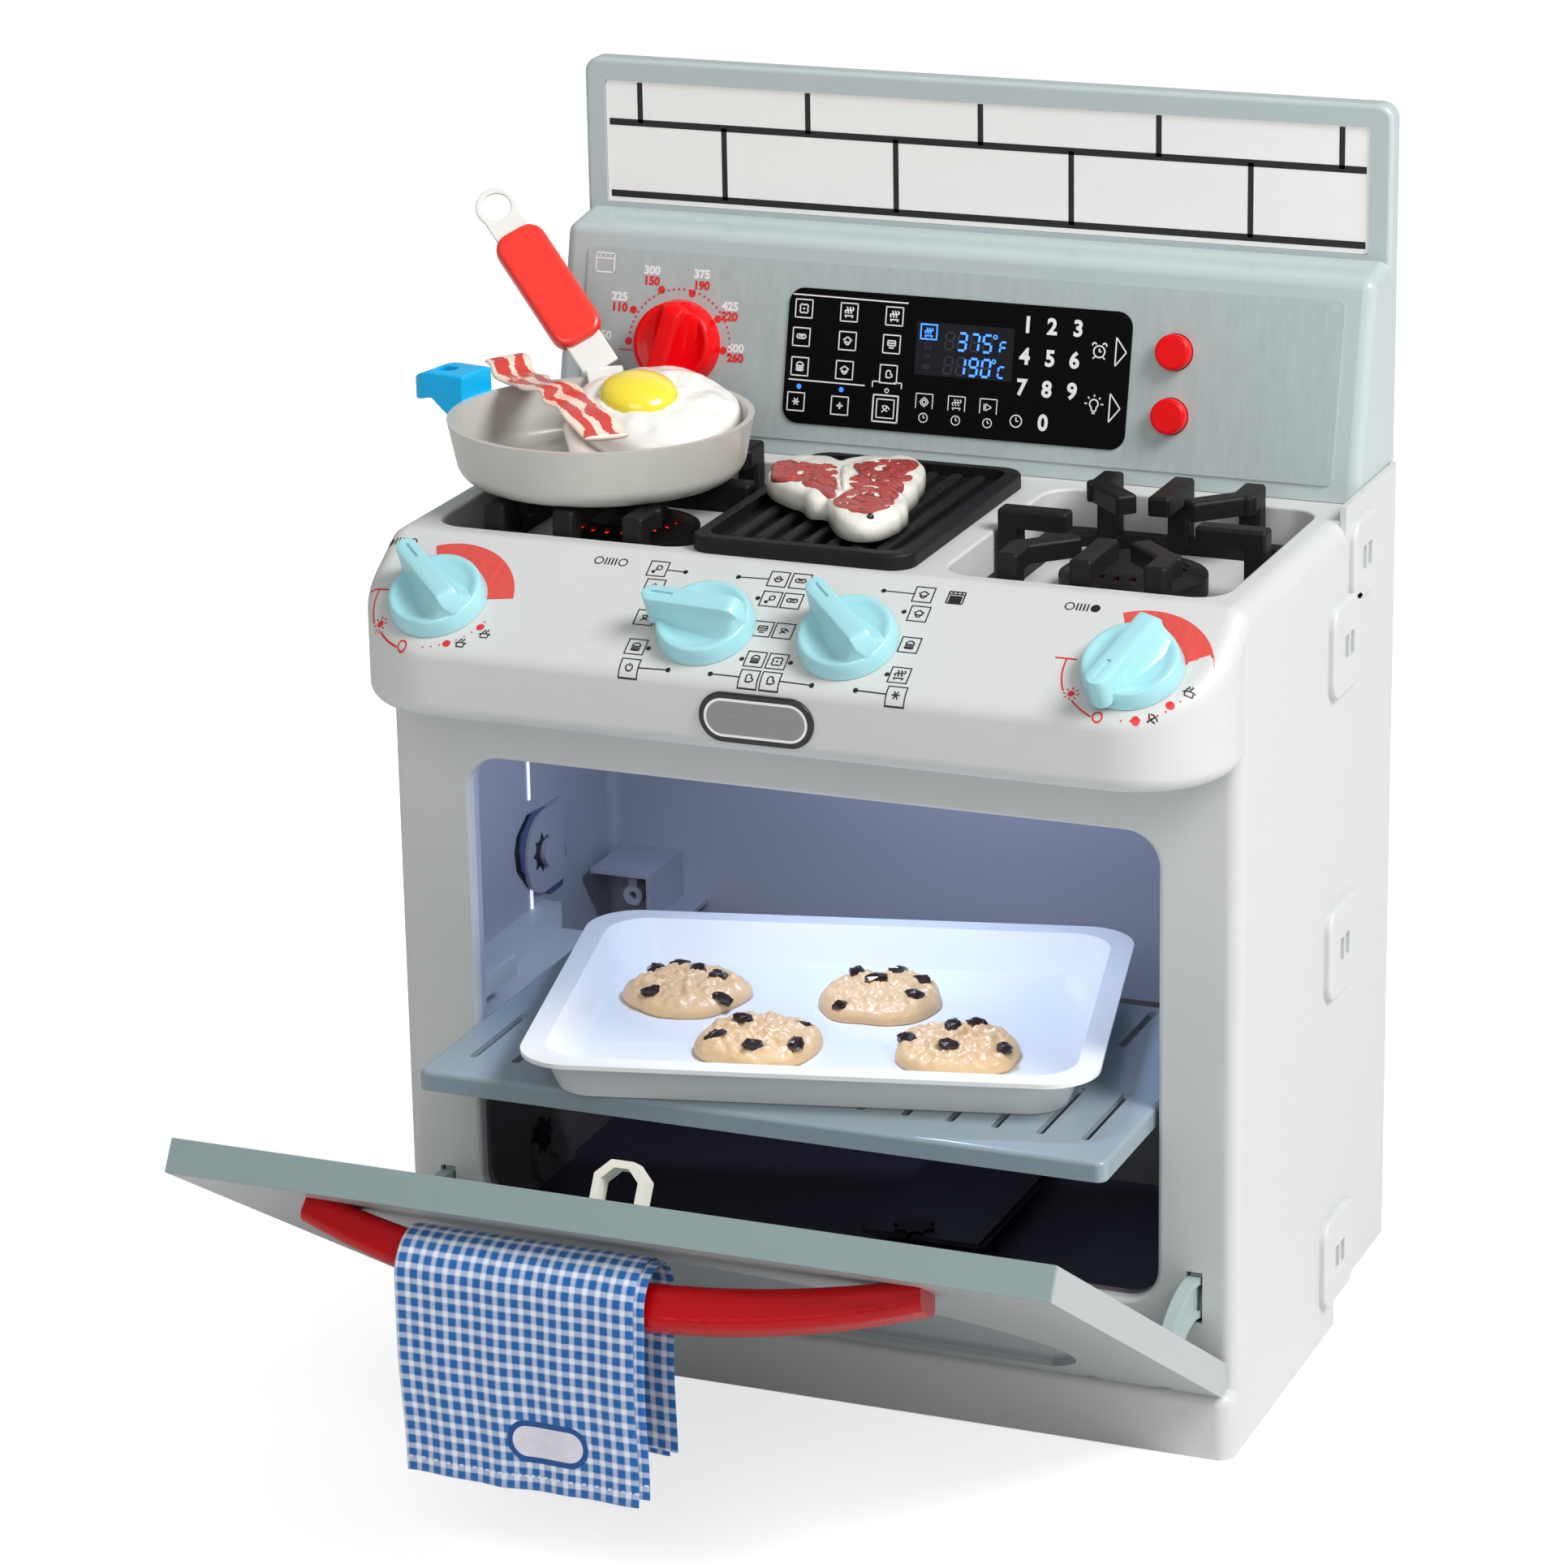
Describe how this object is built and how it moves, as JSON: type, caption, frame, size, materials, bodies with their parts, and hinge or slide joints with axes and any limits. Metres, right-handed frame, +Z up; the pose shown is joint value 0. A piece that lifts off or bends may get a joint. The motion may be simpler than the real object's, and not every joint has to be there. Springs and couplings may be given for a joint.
{
  "type": "toy oven",
  "caption": "Toy kitchen oven with hob, knobs, console, tiled backguard, open drop-down door with towel, shelf, tray of cookies, pan, spatula and play food.",
  "frame": {"origin": "on the floor, in the middle of the body footprint between its side walls and between its front and back faces", "axes": "+Z up, +X to the right as seen from the front, +Y towards the back"},
  "size_m": [0.4684, 0.5138, 0.602],
  "materials": {
    "shell_white": "satin gloss moulded",
    "grey_blue": "satin gloss moulded",
    "knob_blue": "satin gloss moulded",
    "red": "gloss moulded",
    "black": "matte moulded",
    "display_black": "gloss printed window",
    "label": "vertical brushed print, satin",
    "tile": "gloss printed tiles",
    "tray_white": "satin moulded",
    "pan_grey": "satin moulded",
    "blue": "gloss moulded",
    "egg_white": "smooth soft",
    "yolk": "gloss soft",
    "bacon": "soft, striped red and cream",
    "steak": "soft, red with cream fat",
    "cookie": "soft, lumpy",
    "towel": "printed cotton",
    "pane": "translucent satin",
    "steel": "plain",
    "board_green": "lacquered",
    "led_red": "clear red",
    "lens": "clear",
    "cell": "satin"
  },
  "bodies": {
    "body": {"front_shell": "shell_white", "rear_shell": "shell_white", "oven_floor": "shell_white", "hob_top": "shell_white", "badge": "shell_white", "knob_retainers": "black", "burner_left": "black", "burner_right": "black", "burner_leds": "led_red", "grate_left": "black", "grate_right": "black", "backguard": "grey_blue", "console_back": "grey_blue", "battery_box": "grey_blue", "batteries": "cell", "battery_hatch": "grey_blue", "circuit_board": "board_green", "push_switches": "black", "speaker": "black", "tile_panel": "tile", "console_label": "label", "display_panel": "display_black", "hinge_pins": "steel", "rail_left": "grey_blue", "rail_right": "grey_blue", "side_clips": "shell_white", "lamp_housing": "black", "lamp_lens": "lens", "body_screws": "steel"},
    "door": {"door_outer": "shell_white", "door_inner": "grey_blue", "door_window": "pane", "door_arms": "grey_blue", "door_catch": "shell_white", "door_handle": "red", "handle_screws": "steel"},
    "towel": {"towel": "towel"},
    "shelf": {"shelf": "grey_blue"},
    "tray": {"baking_tray": "tray_white"},
    "griddle": {"griddle": "black"},
    "steak": {"steak": "steak"},
    "pan": {"frying_pan": "pan_grey", "pan_handle": "blue"},
    "spatula": {"spatula": "pan_grey", "spatula_grip": "red"},
    "egg": {"egg_white": "egg_white", "egg_yolk": "yolk"},
    "bacon": {"bacon": "bacon"},
    "dial": {"dial": "red"},
    "button_upper": {"button_upper": "red"},
    "button_lower": {"button_lower": "red"},
    "knob_1": {"knob_1": "knob_blue"},
    "cookie_1": {"cookie_1": "cookie"},
    "knob_2": {"knob_2": "knob_blue"},
    "cookie_2": {"cookie_2": "cookie"},
    "knob_3": {"knob_3": "knob_blue"},
    "cookie_3": {"cookie_3": "cookie"},
    "knob_4": {"knob_4": "knob_blue"},
    "cookie_4": {"cookie_4": "cookie"}
  },
  "joints": [
    {"name": "door_hinge", "type": "hinge", "parent": "body", "child": "door", "pos_m": [0, -0.135, 0.042], "axis": [-1, 0, 0], "range_deg": [0, 58.2]},
    {"name": "towel_swing", "type": "hinge", "parent": "door", "child": "towel", "pos_m": [-0.034, -0.36721, 0.15139], "axis": [1, 0, 0], "range_deg": [0, 58.2]},
    {"name": "shelf_slide", "type": "slide", "parent": "body", "child": "shelf", "axis": [0, 1, 0], "range_m": [0, 0.073]},
    {"name": "tray_turn", "type": "hinge", "parent": "shelf", "child": "tray", "pos_m": [-0.0019, -0.0874, 0.1713], "axis": [0, 0, -1], "range_deg": [0, 13.3]},
    {"name": "cookie_1_lift", "type": "slide", "parent": "tray", "child": "cookie_1", "axis": [0, 0, 1], "range_m": [0, 0.05]},
    {"name": "cookie_2_lift", "type": "slide", "parent": "tray", "child": "cookie_2", "axis": [0, 0, 1], "range_m": [0, 0.05]},
    {"name": "cookie_3_lift", "type": "slide", "parent": "tray", "child": "cookie_3", "axis": [0, 0, 1], "range_m": [0, 0.05]},
    {"name": "cookie_4_lift", "type": "slide", "parent": "tray", "child": "cookie_4", "axis": [0, 0, 1], "range_m": [0, 0.05]},
    {"name": "knob_1_turn", "type": "hinge", "parent": "body", "child": "knob_1", "pos_m": [-0.173, -0.15557, 0.3941], "axis": [0, -0.5204, 0.8539], "range_deg": [0, 298]},
    {"name": "knob_2_turn", "type": "hinge", "parent": "body", "child": "knob_2", "pos_m": [-0.0355, -0.15557, 0.3941], "axis": [0, -0.5204, 0.8539], "range_deg": [-212, 58]},
    {"name": "knob_3_turn", "type": "hinge", "parent": "body", "child": "knob_3", "pos_m": [0.0355, -0.15557, 0.3941], "axis": [0, -0.5204, 0.8539], "range_deg": [-173, 97]},
    {"name": "knob_4_turn", "type": "hinge", "parent": "body", "child": "knob_4", "pos_m": [0.173, -0.15557, 0.3941], "axis": [0, -0.5204, 0.8539], "range_deg": [-112, 186]},
    {"name": "dial_turn", "type": "hinge", "parent": "body", "child": "dial", "pos_m": [-0.146, 0.07542, 0.46671], "axis": [0, -0.9746, 0.2238], "range_deg": [-91, 139]},
    {"name": "button_upper_press", "type": "slide", "parent": "body", "child": "button_upper", "axis": [0, 0.9746, -0.2238], "range_m": [0, 0.003], "stiffness_N_per_m": 250, "springref_m": -0.002},
    {"name": "button_lower_press", "type": "slide", "parent": "body", "child": "button_lower", "axis": [0, 0.9746, -0.2238], "range_m": [0, 0.003], "stiffness_N_per_m": 250, "springref_m": -0.002},
    {"name": "griddle_lift", "type": "slide", "parent": "body", "child": "griddle", "axis": [0, 0, 1], "range_m": [0, 0.04]},
    {"name": "steak_lift", "type": "slide", "parent": "griddle", "child": "steak", "axis": [0, 0, 1], "range_m": [0, 0.04]},
    {"name": "pan_lift", "type": "slide", "parent": "body", "child": "pan", "axis": [0, 0, 1], "range_m": [0, 0.06]},
    {"name": "spatula_lift", "type": "slide", "parent": "pan", "child": "spatula", "axis": [0, 0, 1], "range_m": [0, 0.05]},
    {"name": "egg_lift", "type": "slide", "parent": "spatula", "child": "egg", "axis": [0, 0, 1], "range_m": [0, 0.04]},
    {"name": "bacon_lift", "type": "slide", "parent": "egg", "child": "bacon", "axis": [0, 0, 1], "range_m": [0, 0.04]}
  ],
  "couplings": [
    {"joint": "towel_swing", "follows": "door_hinge", "ratio": 1},
    {"joint": "shelf_slide", "follows": "door_hinge", "m_per_rad": 0.071767},
    {"joint": "tray_turn", "follows": "door_hinge", "ratio": 0.22835}
  ]
}
